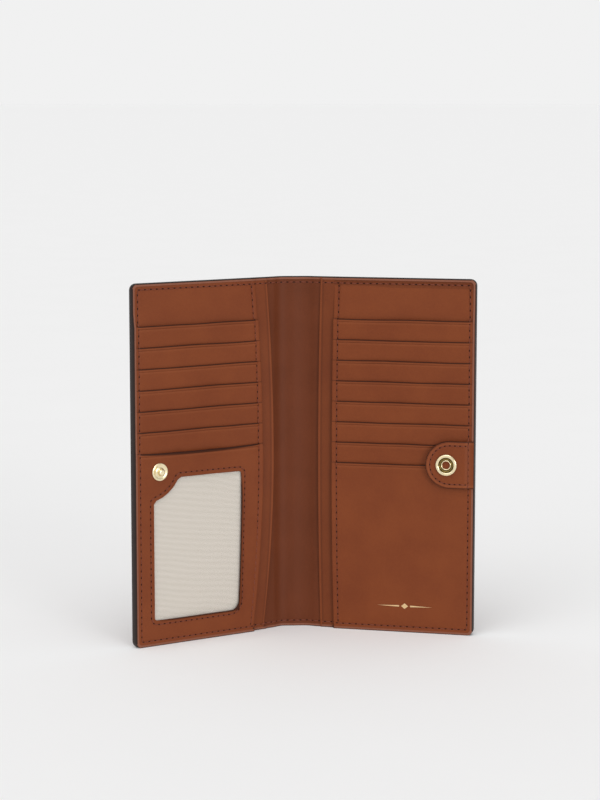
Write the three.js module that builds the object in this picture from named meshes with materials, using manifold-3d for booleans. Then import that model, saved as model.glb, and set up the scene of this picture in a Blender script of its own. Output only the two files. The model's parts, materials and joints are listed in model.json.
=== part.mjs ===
// Long wallet: a leather bifold that stands open like a book on its short edges.
// Two stiff halves hang on a soft spine, and a snap tab folds in from the right half's
// outer edge. Every half is a stack of thin leather layers, built from the outer cover
// (back) to the card pockets (front). Units are millimetres, +Z is up along the spine,
// and the inside of the wallet faces -Y.
import * as THREE from "three";
import { mergeVertices } from "three/addons/utils/BufferGeometryUtils.js";
import Module from "manifold-3d";

const wasm = await Module();
wasm.setup();

// Overall sizes
const HEIGHT = 190; // length of the wallet, along the spine
const HALF_WIDTH = 92; // from the fold line of a half to its outer edge
const SPINE_WIDTH = 13; // between the two fold lines
const CORNER_RADIUS = 3.2;
const LEAST_CORNER = 0.6; // corner radius of a layer that stops short of the edge
const LEFT_FOLD_ANGLE = THREE.MathUtils.degToRad(29.5); // away from flat, as it stands
const RIGHT_FOLD_ANGLE = THREE.MathUtils.degToRad(17.35);
const FOLD_CLEARANCE = 1.1; // rigid layers stop this far from a fold line
const GAP = 0.05; // air between two layers that lie on each other

// Levels through the thickness, measured from the inner face of the cover leather
const COVER_THICK = 1.2;
const STIFFENER_THICK = 0.3;
const LINING_THICK = 0.5;
const DIVIDER_THICK = 0.6;
const BASE_THICK = 0.5;
const POCKET_THICK = 0.45;
const STIFFENER_LEVEL = GAP;
const LINING_LEVEL = STIFFENER_LEVEL + STIFFENER_THICK + GAP;
const DIVIDER_LEVEL = LINING_LEVEL + LINING_THICK + GAP;
const BASE_LEVEL = DIVIDER_LEVEL + DIVIDER_THICK + GAP;
const POCKET_LEVEL = BASE_LEVEL + BASE_THICK + GAP;

// Edges of the layers, measured from the fold line
const DIVIDER_EDGE = 7.2;
const CARD_PANEL_EDGE = 15;
const STIFFENER_MARGIN = 4;

// Card pockets: overlapping strips, each leaning on the one above it
const FIRST_SLOT_HEIGHT = 168.2;
const SLOT_PITCH = 11;
const STRIP_HEIGHT = 17;
const LEFT_STRIPS = 6;
const RIGHT_STRIPS = 7;
const STRIP_RISE = POCKET_THICK + GAP; // how far a strip leans forward over one pitch
const STRIP_LEAN = STRIP_RISE * (STRIP_HEIGHT / SLOT_PITCH);
const FRONT_LEVEL = POCKET_LEVEL + STRIP_LEAN; // back of the large front pockets
const PANEL_FRONT = FRONT_LEVEL + POCKET_THICK;

// ID window pocket on the left half
const ID_POCKET_HEIGHT = FIRST_SLOT_HEIGHT - LEFT_STRIPS * SLOT_PITCH;
const FRAME_THICK = 0.55;
const FRAME_FRONT = FRONT_LEVEL + FRAME_THICK;
const WINDOW = { inner: 28.3, outer: 81, low: 13.5, high: 88.3 };
const WINDOW_CORNER = 1.5;
const WINDOW_SOFT_CORNER = 5; // the lower corner on the spine side is rounder
const WINDOW_NOTCH = { out: 85.75, up: 98, radius: 22 }; // shallow notch, which leaves the stud room
const WINDOW_SEAM_INSET = 2.2;
const FILM_MARGIN = 4;
const FILM_THICK = 0.2;
const FILM_LEVEL = FRONT_LEVEL - GAP - FILM_THICK;
const FABRIC_THICK = 0.2;
const FABRIC_TOP = 95.5;

// Snap fastener: stud on the left half, socket on the tab
const SNAP_OUT = 77.6; // distance of the snap's centre from the fold line
const SNAP_HEIGHT = 92;
const STUD_RADIUS = 4.7;
const STUD_NUB_RADIUS = 1.75;
const STUD_NUB_TALL = 3.1;
const STUD_BORE_RADIUS = 1.3;
const POST_RADIUS = 1.2;
const POST_WASHER_RADIUS = 3.8;
const POST_WASHER_THICK = 0.25;
const SOCKET_RADIUS = 5.7;
const SOCKET_TALL = 1.35;
const SOCKET_MOUTH_RADIUS = 2.05;
const CAP_RADIUS = 6;
const CAP_THICK = 0.65;
const CAP_POST_RADIUS = 2.5;
const ROUND_STEPS = 40;

// Snap tab on the right half
const TAB_RADIUS = 12.6;
const TAB_REACH = 25.5; // from the outer edge to the round end
const TAB_LEATHER = 0.6;
const TAB_CORE_THICK = 0.2;
const TAB_ROOT_INSET = 2.1; // width of the strip that is sewn down
const TAB_ROOT_THICK = 0.75; // both leathers, pared down
const TAB_HINGE_INSET = 2.7;
const TAB_HINGE_CLEARANCE = 0.7;
const TAB_SEAM_INSET = 2.3;
const CAP_LEVEL = PANEL_FRONT + 0.13;
const TAB_BACK_LEVEL = CAP_LEVEL + CAP_THICK + GAP;
const TAB_CORE_LEVEL = TAB_BACK_LEVEL + TAB_LEATHER + GAP;
const TAB_FRONT_LEVEL = TAB_CORE_LEVEL + TAB_CORE_THICK + GAP;
const TAB_FACE = TAB_FRONT_LEVEL + TAB_LEATHER;
const SOCKET_LEVEL = TAB_FACE + GAP;

// Seams
const SEAM_INSET = 3;
const CARD_SEAM = 17.7; // from the fold line
const THREAD_WIDE = 0.5;
const THREAD_THICK = 0.2;

const finish = (color, roughness, metalness = 0) =>
  new THREE.MeshStandardMaterial({ color, roughness, metalness });
const tanLeather = finish("#84482e", 0.55);
const liningLeather = finish("#6f3d28", 0.6);
const fibreBoard = finish("#a08a6c", 0.9);
const saddleThread = finish("#a5603a", 0.7);
const windowFabric = finish("#cfc8be", 0.85);
const clearFilm = finish("#eef0f0", 0.12);
const goldPlate = finish("#d9b36a", 0.25, 1);

function part(name, geometry, material) {
  const mesh = new THREE.Mesh(geometry, material);
  mesh.name = name;
  return mesh;
}

// ---- shapes --------------------------------------------------------------------------

// A flat layer: an outline across (x) and up (z), from one level to another through the
// thickness. Levels grow towards the inside of the wallet, which is -Y.
function layer(outline, level, thickness) {
  const shape = new THREE.Shape(outline);
  const geometry = new THREE.ExtrudeGeometry(shape, { depth: thickness, bevelEnabled: false });
  geometry.rotateX(Math.PI / 2);
  return geometry.translate(0, -level, 0);
}

// The same layer with openings punched right through it.
function punchedLayer(outline, level, thickness, openings) {
  const punches = openings.map((points) => toSolid(layer(points, level - 1, thickness + 2)));
  const whole = toSolid(layer(outline, level, thickness));
  return fromSolid(punches.reduce((rest, punch) => rest.subtract(punch), whole));
}

// A profile of (level, height) points drawn out sideways between two x positions.
function drawnAcross(profile, fromX, toX) {
  const length = Math.abs(toX - fromX);
  const geometry = new THREE.ExtrudeGeometry(new THREE.Shape(profile), {
    depth: length,
    bevelEnabled: false,
  });
  const turn = new THREE.Matrix4().makeBasis(
    new THREE.Vector3(0, -1, 0),
    new THREE.Vector3(0, 0, 1),
    new THREE.Vector3(-1, 0, 0),
  );
  return geometry.applyMatrix4(turn).translate(Math.max(fromX, toX), 0, 0);
}

// A turned metal piece: (radius, level) points spun about the snap's centre line.
function turned(profile, x, z) {
  const points = profile.map(([radius, level]) => new THREE.Vector2(radius, level));
  const geometry = new THREE.LatheGeometry(points, ROUND_STEPS);
  return geometry.rotateX(Math.PI).translate(x, 0, z);
}

function toSolid(geometry) {
  const bare = geometry.clone();
  bare.deleteAttribute("normal");
  bare.deleteAttribute("uv");
  const merged = mergeVertices(bare, 1e-4);
  return new wasm.Manifold(
    new wasm.Mesh({
      numProp: 3,
      vertProperties: merged.attributes.position.array,
      triVerts: new Uint32Array(merged.index.array),
    }),
  );
}

function fromSolid(solid) {
  const mesh = solid.getMesh();
  const geometry = new THREE.BufferGeometry();
  geometry.setAttribute("position", new THREE.BufferAttribute(mesh.vertProperties, 3));
  geometry.setIndex(new THREE.BufferAttribute(mesh.triVerts, 1));
  return geometry;
}

function joined(...geometries) {
  return fromSolid(geometries.map(toSolid).reduce((all, next) => all.add(next)));
}

// ---- outlines, as distance from the fold line (out) and height (z) ---------------------

function arc(centre, radius, fromDegrees, toDegrees, steps = 8) {
  const points = [];
  for (let i = 0; i <= steps; i++) {
    const angle = THREE.MathUtils.degToRad(fromDegrees + ((toDegrees - fromDegrees) * i) / steps);
    points.push([centre[0] + radius * Math.cos(angle), centre[1] + radius * Math.sin(angle)]);
  }
  return points;
}

// side is +1 on the right half and -1 on the left half.
const placed = (side, points) => points.map(([out, z]) => new THREE.Vector2(side * out, z));

// A layer of a half, square on the spine side and round at the outer corners.
function halfOutline(side, inner, outer, low, high, roundLow = true, roundHigh = true) {
  const r = Math.max(LEAST_CORNER, CORNER_RADIUS - (HALF_WIDTH - outer));
  return placed(side, [
    [inner, low],
    ...(roundLow ? arc([outer - r, low + r], r, -90, 0) : [[outer, low]]),
    ...(roundHigh ? arc([outer - r, high - r], r, 0, 90) : [[outer, high]]),
    [inner, high],
  ]);
}

// The window's outline, grown outwards: the same run serves the opening, its seam and film.
function windowOutline(side, grow) {
  const small = WINDOW_CORNER + grow;
  const soft = WINDOW_SOFT_CORNER + grow;
  const inner = WINDOW.inner - grow;
  const outer = WINDOW.outer + grow;
  const low = WINDOW.low - grow;
  const high = WINDOW.high + grow;
  const { out, up } = WINDOW_NOTCH;
  const notch = WINDOW_NOTCH.radius - grow;
  const ease = 4; // degrees of the notch given up to each rounded end
  const start = THREE.MathUtils.radToDeg(-Math.acos((outer - out) / notch));
  const end = -180 - THREE.MathUtils.radToDeg(Math.asin((high - up) / notch));
  const notchTop = out - Math.sqrt(notch ** 2 - (high - up) ** 2);
  const notchSide = up - Math.sqrt(notch ** 2 - (outer - out) ** 2);
  return placed(side, [
    ...arc([inner + soft, low + soft], soft, -180, -90),
    ...arc([outer - small, low + small], small, -90, 0),
    [outer, notchSide - WINDOW_CORNER],
    ...arc([out, up], notch, start - ease, end + ease),
    [notchTop - WINDOW_CORNER, high],
    ...arc([inner + small, high - small], small, 90, 180),
  ]);
}

// The snap tab: straight from its root, with a half-round end.
function tabOutline(inset, rootEdge) {
  const centre = [HALF_WIDTH - TAB_REACH + TAB_RADIUS, SNAP_HEIGHT];
  return placed(1, [
    [rootEdge, SNAP_HEIGHT - TAB_RADIUS + inset],
    [rootEdge, SNAP_HEIGHT + TAB_RADIUS - inset],
    ...arc(centre, TAB_RADIUS - inset, 90, 270, 20),
  ]);
}

const hole = (x, radius) => placed(1, arc([x, SNAP_HEIGHT], radius, 0, 360 - 360 / 24, 23));

// A thread laid over steps: runs of [from, to, level], each higher or lower than the last.
function steppedRun(runs) {
  const under = [];
  const over = [];
  runs.forEach(([from, to, level], i) => {
    const cameUp = i > 0 ? Math.sign(level - runs[i - 1][2]) : 0;
    const goesUp = i < runs.length - 1 ? Math.sign(runs[i + 1][2] - level) : 0;
    under.push([from, level], [to, level]);
    over.push([from - cameUp * THREAD_THICK, level + THREAD_THICK]);
    over.push([to - goesUp * THREAD_THICK, level + THREAD_THICK]);
  });
  return [...under, ...over.reverse()];
}

// ---- pieces that both halves have -----------------------------------------------------

function cover(side) {
  return layer(halfOutline(side, FOLD_CLEARANCE, HALF_WIDTH, 0, HEIGHT), -COVER_THICK, COVER_THICK);
}

function stiffener(side) {
  const outline = halfOutline(
    side,
    DIVIDER_EDGE,
    HALF_WIDTH - STIFFENER_MARGIN,
    STIFFENER_MARGIN,
    HEIGHT - STIFFENER_MARGIN,
  );
  return layer(outline, STIFFENER_LEVEL, STIFFENER_THICK);
}

function lining(side) {
  const outline = halfOutline(side, FOLD_CLEARANCE, HALF_WIDTH, 0, HEIGHT);
  return layer(outline, LINING_LEVEL, LINING_THICK);
}

function slipDivider(side) {
  const outline = halfOutline(side, DIVIDER_EDGE, HALF_WIDTH, 0, HEIGHT);
  return layer(outline, DIVIDER_LEVEL, DIVIDER_THICK);
}

function cardBase(side) {
  return layer(halfOutline(side, CARD_PANEL_EDGE, HALF_WIDTH, 0, HEIGHT), BASE_LEVEL, BASE_THICK);
}

// One strip: its foot lies on the base, and its mouth stands in front of the strip above.
function cardPocket(side, index) {
  const mouth = FIRST_SLOT_HEIGHT - index * SLOT_PITCH;
  const foot = mouth - STRIP_HEIGHT;
  const profile = [
    [POCKET_LEVEL, foot],
    [POCKET_LEVEL + POCKET_THICK, foot],
    [FRONT_LEVEL + POCKET_THICK, mouth],
    [FRONT_LEVEL, mouth],
  ].map(([level, z]) => new THREE.Vector2(level, z));
  return drawnAcross(profile, side * CARD_PANEL_EDGE, side * HALF_WIDTH);
}

// The seam round a half, laid over the steps of its layers: top, outer side and bottom.
function edgeThread(side, frontLevel) {
  const seamOut = HALF_WIDTH - SEAM_INSET;
  const across = (height, cardLevel) => {
    const runs = steppedRun([
      [FOLD_CLEARANCE, DIVIDER_EDGE - 0.1, LINING_LEVEL + LINING_THICK + GAP],
      [DIVIDER_EDGE - 0.1, CARD_PANEL_EDGE - 0.1, BASE_LEVEL],
      [CARD_PANEL_EDGE - 0.1, seamOut + THREAD_WIDE / 2, cardLevel],
    ]);
    const outline = placed(side, runs);
    const geometry = new THREE.ExtrudeGeometry(new THREE.Shape(outline), {
      depth: THREAD_WIDE,
      bevelEnabled: false,
    });
    // The outline is (x, level): turn the level towards -Y and the depth up.
    const turn = new THREE.Matrix4().makeBasis(
      new THREE.Vector3(1, 0, 0),
      new THREE.Vector3(0, -1, 0),
      new THREE.Vector3(0, 0, -1),
    );
    return geometry.applyMatrix4(turn).translate(0, 0, height + THREAD_WIDE / 2);
  };
  return joined(
    across(HEIGHT - SEAM_INSET, POCKET_LEVEL),
    upright(side, seamOut, SEAM_INSET - THREAD_WIDE / 2, frontLevel),
    across(SEAM_INSET, frontLevel),
  );
}

// A seam up a half: over the pockets, then down onto the plain leather above them.
function upright(side, out, margin, frontLevel) {
  const step = FIRST_SLOT_HEIGHT + 0.1;
  const runs = steppedRun([
    [margin, step, frontLevel],
    [step, HEIGHT - margin, POCKET_LEVEL],
  ]);
  const profile = runs.map(([z, level]) => new THREE.Vector2(level, z));
  return drawnAcross(profile, side * (out - THREAD_WIDE / 2), side * (out + THREAD_WIDE / 2));
}

const cardThread = (side, frontLevel) => upright(side, CARD_SEAM, SEAM_INSET + 0.6, frontLevel);

function addHalf(group, side, word, frontLevel, strips) {
  group.add(
    part(word + "_cover", cover(side), tanLeather),
    part(word + "_stiffener", stiffener(side), fibreBoard),
    part(word + "_lining", lining(side), liningLeather),
    part(word + "_slip_divider", slipDivider(side), tanLeather),
    part(word + "_card_base", cardBase(side), tanLeather),
    part(word + "_edge_thread", edgeThread(side, frontLevel), saddleThread),
    part(word + "_card_thread", cardThread(side, frontLevel), saddleThread),
  );
  for (let i = 0; i < strips; i++) {
    group.add(part(word + "_card_pocket_" + (i + 1), cardPocket(side, i), tanLeather));
  }
}

// ---- left half: ID window pocket and stud -----------------------------------------------

function idWindowFrame() {
  const outline = halfOutline(-1, CARD_PANEL_EDGE, HALF_WIDTH, 0, ID_POCKET_HEIGHT, true, false);
  const postHole = hole(-SNAP_OUT, POST_RADIUS + 0.3);
  return punchedLayer(outline, FRONT_LEVEL, FRAME_THICK, [windowOutline(-1, 0), postHole]);
}

function idWindowFilm() {
  return layer(windowOutline(-1, FILM_MARGIN), FILM_LEVEL, FILM_THICK);
}

function idPocketLining() {
  const outline = halfOutline(-1, CARD_PANEL_EDGE, HALF_WIDTH, 0, FABRIC_TOP, true, false);
  return layer(outline, POCKET_LEVEL, FABRIC_THICK);
}

function windowThread() {
  const outer = windowOutline(-1, WINDOW_SEAM_INSET + THREAD_WIDE / 2);
  const inner = windowOutline(-1, WINDOW_SEAM_INSET - THREAD_WIDE / 2);
  return punchedLayer(outer, FRAME_FRONT + GAP, THREAD_THICK, [inner]);
}

// Dished flange with a raised rim and a round-nosed nub, hollow behind for its post.
function snapStud() {
  const back = FRAME_FRONT + GAP;
  const nose = back + STUD_NUB_TALL;
  const nub = STUD_NUB_RADIUS;
  return turned(
    [
      [0, nose - 0.9],
      [STUD_BORE_RADIUS, nose - 0.9],
      [STUD_BORE_RADIUS, back],
      [STUD_RADIUS - 0.2, back],
      [STUD_RADIUS, back + 0.25],
      [STUD_RADIUS - 0.3, back + 0.65],
      [STUD_RADIUS - 0.9, back + 0.65],
      [STUD_RADIUS - 1.4, back + 0.4],
      [nub + 0.5, back + 0.4],
      [nub - 0.15, back + 0.8],
      [nub - 0.15, back + 1.7],
      [nub, nose - 0.8],
      [nub - 0.3, nose - 0.25],
      [nub - 1, nose],
      [0, nose],
    ],
    -SNAP_OUT,
    SNAP_HEIGHT,
  );
}

// The rivet behind the stud: a washer under the leather and a post up into the stud.
function studPost() {
  const low = FRONT_LEVEL - GAP - POST_WASHER_THICK;
  const top = FRAME_FRONT + STUD_NUB_TALL - 1.1;
  return turned(
    [
      [0, low],
      [POST_WASHER_RADIUS, low],
      [POST_WASHER_RADIUS, low + POST_WASHER_THICK],
      [POST_RADIUS, low + POST_WASHER_THICK],
      [POST_RADIUS, top],
      [0, top],
    ],
    -SNAP_OUT,
    SNAP_HEIGHT,
  );
}

function leftHalf() {
  const half = new THREE.Group();
  addHalf(half, -1, "left", FRAME_FRONT + GAP, LEFT_STRIPS);
  half.add(
    part("id_pocket_lining", idPocketLining(), windowFabric),
    part("id_window_film", idWindowFilm(), clearFilm),
    part("id_window_frame", idWindowFrame(), tanLeather),
    part("window_thread", windowThread(), saddleThread),
    part("snap_stud", snapStud(), goldPlate),
    part("stud_post", studPost(), goldPlate),
  );
  half.position.x = -SPINE_WIDTH / 2;
  half.rotation.z = LEFT_FOLD_ANGLE;
  return half;
}

// ---- right half: large front pocket and snap tab ------------------------------------------

function frontPocket() {
  const mouth = FIRST_SLOT_HEIGHT - RIGHT_STRIPS * SLOT_PITCH;
  const outline = halfOutline(1, CARD_PANEL_EDGE, HALF_WIDTH, 0, mouth, true, false);
  return layer(outline, FRONT_LEVEL, POCKET_THICK);
}

// The end of the tab's leather that the edge seam holds down.
function tabRoot() {
  const low = SNAP_HEIGHT - TAB_RADIUS;
  const high = SNAP_HEIGHT + TAB_RADIUS;
  const inner = HALF_WIDTH - TAB_ROOT_INSET;
  const outline = placed(1, [
    [inner, low],
    [HALF_WIDTH, low],
    [HALF_WIDTH, high],
    [inner, high],
  ]);
  return layer(outline, PANEL_FRONT + GAP, TAB_ROOT_THICK);
}

const tabEdge = HALF_WIDTH - TAB_HINGE_INSET - TAB_HINGE_CLEARANCE;

function tabLayer(level, thickness, inset = 0) {
  const postHole = hole(SNAP_OUT, CAP_POST_RADIUS + 0.3);
  return punchedLayer(tabOutline(inset, tabEdge), level, thickness, [postHole]);
}

function tabThread() {
  const outer = tabOutline(TAB_SEAM_INSET - THREAD_WIDE / 2, tabEdge);
  const inner = tabOutline(TAB_SEAM_INSET + THREAD_WIDE / 2, tabEdge - THREAD_WIDE);
  return punchedLayer(outer, TAB_FACE + GAP, THREAD_THICK, [inner]);
}

// Socket ring: a dished flange round a raised collar that takes the stud's nub.
function snapSocket() {
  const low = SOCKET_LEVEL;
  const bore = CAP_POST_RADIUS + 0.1;
  const mouth = SOCKET_MOUTH_RADIUS;
  return turned(
    [
      [bore, low],
      [SOCKET_RADIUS - 0.2, low],
      [SOCKET_RADIUS, low + 0.4],
      [SOCKET_RADIUS - 0.3, low + 0.95],
      [SOCKET_RADIUS - 0.8, low + 0.95],
      [SOCKET_RADIUS - 1.6, low + 0.5],
      [mouth + 1.1, low + 0.5],
      [mouth + 0.8, low + SOCKET_TALL - 0.15],
      [mouth + 0.5, low + SOCKET_TALL],
      [mouth, low + SOCKET_TALL - 0.1],
      [mouth, low + 0.45],
      [bore, low + 0.35],
      [bore, low],
    ],
    SNAP_OUT,
    SNAP_HEIGHT,
  );
}

// Flat cap behind the tab, with a hollow post up through the leather into the socket.
function snapCap() {
  const low = CAP_LEVEL;
  const bore = SOCKET_MOUTH_RADIUS;
  const top = SOCKET_LEVEL + 0.3;
  return turned(
    [
      [0, low],
      [CAP_RADIUS - 0.4, low],
      [CAP_RADIUS, low + CAP_THICK / 2],
      [CAP_RADIUS - 0.3, low + CAP_THICK],
      [CAP_POST_RADIUS, low + CAP_THICK],
      [CAP_POST_RADIUS, top],
      [bore, top],
      [bore, low + CAP_THICK],
      [0, low + CAP_THICK],
    ],
    SNAP_OUT,
    SNAP_HEIGHT,
  );
}

function rightHalf() {
  const half = new THREE.Group();
  addHalf(half, 1, "right", PANEL_FRONT + GAP, RIGHT_STRIPS);
  half.add(
    part("right_card_pocket_8", frontPocket(), tanLeather),
    part("tab_root", tabRoot(), tanLeather),
    part("tab_back", tabLayer(TAB_BACK_LEVEL, TAB_LEATHER), tanLeather),
    part("tab_core", tabLayer(TAB_CORE_LEVEL, TAB_CORE_THICK, 1.2), fibreBoard),
    part("tab_front", tabLayer(TAB_FRONT_LEVEL, TAB_LEATHER), tanLeather),
    part("tab_thread", tabThread(), saddleThread),
    part("snap_socket", snapSocket(), goldPlate),
    part("snap_cap", snapCap(), goldPlate),
  );
  half.position.x = SPINE_WIDTH / 2;
  half.rotation.z = -RIGHT_FOLD_ANGLE;
  return half;
}

// ---- spine ---------------------------------------------------------------------------------

function spineStrip(level, thickness, low = 0, high = HEIGHT) {
  const half = SPINE_WIDTH / 2 - FOLD_CLEARANCE;
  const geometry = new THREE.BoxGeometry(2 * half, thickness, high - low);
  return geometry.translate(0, -level - thickness / 2, (low + high) / 2);
}

function spineThread(height) {
  const level = 2 * GAP + LINING_THICK;
  return spineStrip(level, THREAD_THICK, height - THREAD_WIDE / 2, height + THREAD_WIDE / 2);
}

function spine() {
  const group = new THREE.Group();
  group.add(
    part("spine_cover", spineStrip(-COVER_THICK, COVER_THICK), tanLeather),
    part("spine_lining", spineStrip(GAP, LINING_THICK), liningLeather),
    part("spine_thread_top", spineThread(HEIGHT - SEAM_INSET), saddleThread),
    part("spine_thread_bottom", spineThread(SEAM_INSET), saddleThread),
  );
  return group;
}

// ---- the whole wallet, standing centred on its origin ---------------------------------------

const wallet = new THREE.Group();
wallet.add(spine(), leftHalf(), rightHalf());
wallet.updateMatrixWorld(true);
const box = new THREE.Box3().setFromObject(wallet, true);
wallet.position.set(-(box.min.x + box.max.x) / 2, -(box.min.y + box.max.y) / 2, 0);

export default wallet;
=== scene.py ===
import json
import math

import bmesh
import bpy
from mathutils import Matrix, Vector, noise


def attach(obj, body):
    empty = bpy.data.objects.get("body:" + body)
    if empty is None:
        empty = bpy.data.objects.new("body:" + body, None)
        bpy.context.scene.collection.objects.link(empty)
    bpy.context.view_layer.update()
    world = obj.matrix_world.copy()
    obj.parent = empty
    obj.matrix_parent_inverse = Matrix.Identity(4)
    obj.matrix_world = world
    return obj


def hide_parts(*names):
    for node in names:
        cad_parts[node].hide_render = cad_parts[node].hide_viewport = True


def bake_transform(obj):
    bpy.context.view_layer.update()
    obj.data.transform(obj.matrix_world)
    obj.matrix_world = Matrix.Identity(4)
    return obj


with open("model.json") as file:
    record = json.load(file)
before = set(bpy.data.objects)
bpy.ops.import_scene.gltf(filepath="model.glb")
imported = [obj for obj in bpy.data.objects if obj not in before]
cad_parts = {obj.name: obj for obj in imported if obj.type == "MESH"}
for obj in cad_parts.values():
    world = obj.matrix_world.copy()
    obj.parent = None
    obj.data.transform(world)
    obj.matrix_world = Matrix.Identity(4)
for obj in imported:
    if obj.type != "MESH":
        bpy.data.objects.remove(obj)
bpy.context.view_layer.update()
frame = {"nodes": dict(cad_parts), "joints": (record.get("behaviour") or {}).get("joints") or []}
scene = bpy.context.scene

# ---- camera --------------------------------------------------------------------------
# The wallet stands open like a book, and is seen from in front, from a little above its
# top edge and slightly to the left, through a long lens.
lens = bpy.data.cameras.new("camera")
lens.lens = 103.5
lens.sensor_width = 36
camera = bpy.data.objects.new("camera", lens)
camera.location = (-0.0784, -1.1977, 0.2866)
camera.rotation_euler = (math.radians(82.41), 0, math.radians(-3.65))
scene.collection.objects.link(camera)
scene.camera = camera

# ---- studio --------------------------------------------------------------------------
# A pale paper floor under a white room. Three large, soft lamps stand far off: the key
# low in front on the right, a weaker one on the left, and one overhead.
scene.view_settings.view_transform = "Standard"


def paint(code):
    """An sRGB hex colour as the linear colour that a shader takes."""
    channels = [int(code[i : i + 2], 16) / 255 for i in (1, 3, 5)]
    linear = [c / 12.92 if c <= 0.04045 else ((c + 0.055) / 1.055) ** 2.4 for c in channels]
    return (*linear, 1.0)


def add(tree, kind, links=None, values=None, **settings):
    """One shader node, with its settings, the values of its own sockets and what feeds it."""
    made = tree.nodes.new("ShaderNode" + kind)
    for name, value in settings.items():
        setattr(made, name, value)
    for socket, value in (values or {}).items():
        made.inputs[socket].default_value = value
    for socket, source in (links or {}).items():
        tree.links.new(source, made.inputs[socket])
    return made


def new_material(name):
    """An empty material, its node tree and its output node."""
    made = bpy.data.materials.new(name)
    made.use_nodes = True
    made.node_tree.nodes.clear()
    return made, made.node_tree, add(made.node_tree, "OutputMaterial")


def mottled(name, size, detail, deep, light, finish, depth=0.0, strength=0.5):
    """A finish whose colour, and relief if it has one, follow a mottle of a size in metres."""
    made, tree, out = new_material(name)
    place = add(tree, "TexCoord").outputs["Object"]
    mottle = add(tree, "TexNoise", {"Vector": place}, {"Scale": 1 / size, "Detail": detail})
    tone = add(tree, "ValToRGB", {"Fac": mottle.outputs["Fac"]})
    tone.color_ramp.elements[0].color = paint(deep)
    tone.color_ramp.elements[1].color = paint(light)
    skin = add(tree, "BsdfPrincipled", {"Base Color": tone.outputs["Color"]}, finish)
    if depth:
        relief = add(tree, "Bump", {"Height": mottle.outputs["Fac"]},
                     {"Strength": strength, "Distance": depth})
        tree.links.new(relief.outputs["Normal"], skin.inputs["Normal"])
    tree.links.new(skin.outputs["BSDF"], out.inputs["Surface"])
    return made


def studio_paper():
    """Seamless backdrop paper: matt, with a faint fibre mottle."""
    return mottled("studio_paper", 1 / 9, 3.0, "#f1f1f1", "#f3f3f3",
                   {"Roughness": 0.95, "Specular IOR Level": 0.05})


bm = bmesh.new()
bmesh.ops.create_grid(bm, x_segments=8, y_segments=8, size=60)
floor_mesh = bpy.data.meshes.new("floor")
bm.to_mesh(floor_mesh)
bm.free()
floor = bpy.data.objects.new("floor", floor_mesh)
floor_mesh.materials.append(studio_paper())
scene.collection.objects.link(floor)


def soft_lamp(name, azimuth, elevation, strength, spread):
    """A far softbox: azimuth 0 is in front of the wallet and grows to the right."""
    data = bpy.data.lights.new(name, "SUN")
    data.energy = strength
    data.angle = math.radians(spread)
    lamp = bpy.data.objects.new(name, data)
    turn, rise = math.radians(azimuth), math.radians(elevation)
    towards = Vector((math.sin(turn) * math.cos(rise), -math.cos(turn) * math.cos(rise),
                      math.sin(rise)))
    lamp.rotation_euler = towards.to_track_quat("Z", "Y").to_euler()
    scene.collection.objects.link(lamp)


soft_lamp("key_softbox", 28, 7, 1.0, 22)
soft_lamp("left_softbox", -38, 24, 0.35, 40)
soft_lamp("overhead_softbox", -10, 66, 1.1, 50)

white_room = bpy.data.worlds.new("white_room")
white_room.use_nodes = True
scene.world = white_room
room = white_room.node_tree
seen = add(room, "LightPath").outputs["Is Camera Ray"]
glow = add(room, "MapRange", {"Value": seen}, {"To Min": 0.58, "To Max": 0.879})
room.links.new(glow.outputs["Result"], room.nodes["Background"].inputs["Strength"])
room.nodes["Background"].inputs["Color"].default_value = (1, 1, 1, 1)

# ---- outer leather -------------------------------------------------------------------
# One long panel of tan calf leather wraps the wallet: left half, soft spine, right half.
# It is smooth grained and satin finished, and each half of it bends at its fold line.
# Every piece is drawn on its flat half in millimetres: across from the fold line, out
# towards the inside of the wallet, and up; set_in_place() then stands it in the frame.
SIDES = ("left", "right")
SPINE_HALF = 6.5  # from a fold line to the middle of the spine
HEIGHT = 190.0
HALF_WIDTH = 92.0
CORNER = 3.2

fold = {joint["child"]: joint for joint in frame["joints"]}


def on_half(side, across, out, up):
    """A point of a half as it stands, in metres. It bends over the spine's width."""
    joint = fold[side + "_half"]
    hinge = Vector((joint["pos_m"][0], joint["pos_m"][1], 0))
    share = min(1.0, max(0.0, (across + SPINE_HALF) / (2 * SPINE_HALF)))
    bend = -math.radians(joint["range_deg"][1]) * share * share * (3 - 2 * share)
    turn = Matrix.Rotation(bend, 3, Vector(joint["axis"]))
    flat = Vector((across if side == "right" else -across, -out, up))
    return hinge + turn @ flat * 0.001


def set_in_place(bm, side):
    """Stands a mesh that was drawn flat where its half stands."""
    for corner in bm.verts:
        corner.co = on_half(side, *corner.co)
    if side == "right":
        bmesh.ops.reverse_faces(bm, faces=bm.faces)


def finished(bm, name, materials, sharp=40):
    """The mesh as a named object at the origin, smooth but for its real corners."""
    mesh = bpy.data.meshes.new(name)
    for face in bm.faces:
        face.smooth = True
    bm.to_mesh(mesh)
    bm.free()
    mesh.set_sharp_from_angle(angle=math.radians(sharp))
    for material in materials:
        mesh.materials.append(material)
    made = bpy.data.objects.new(name, mesh)
    scene.collection.objects.link(made)
    return made


def bends_at_fold(piece):
    """Bakes the piece's place into its mesh, where it stands."""
    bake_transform(piece)


def arc(centre, radius, start, stop, steps):
    """Points of a round corner, from one angle to another in degrees."""
    angles = [math.radians(start + (stop - start) * i / steps) for i in range(steps + 1)]
    return [(centre[0] + radius * math.cos(a), centre[1] + radius * math.sin(a)) for a in angles]


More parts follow.
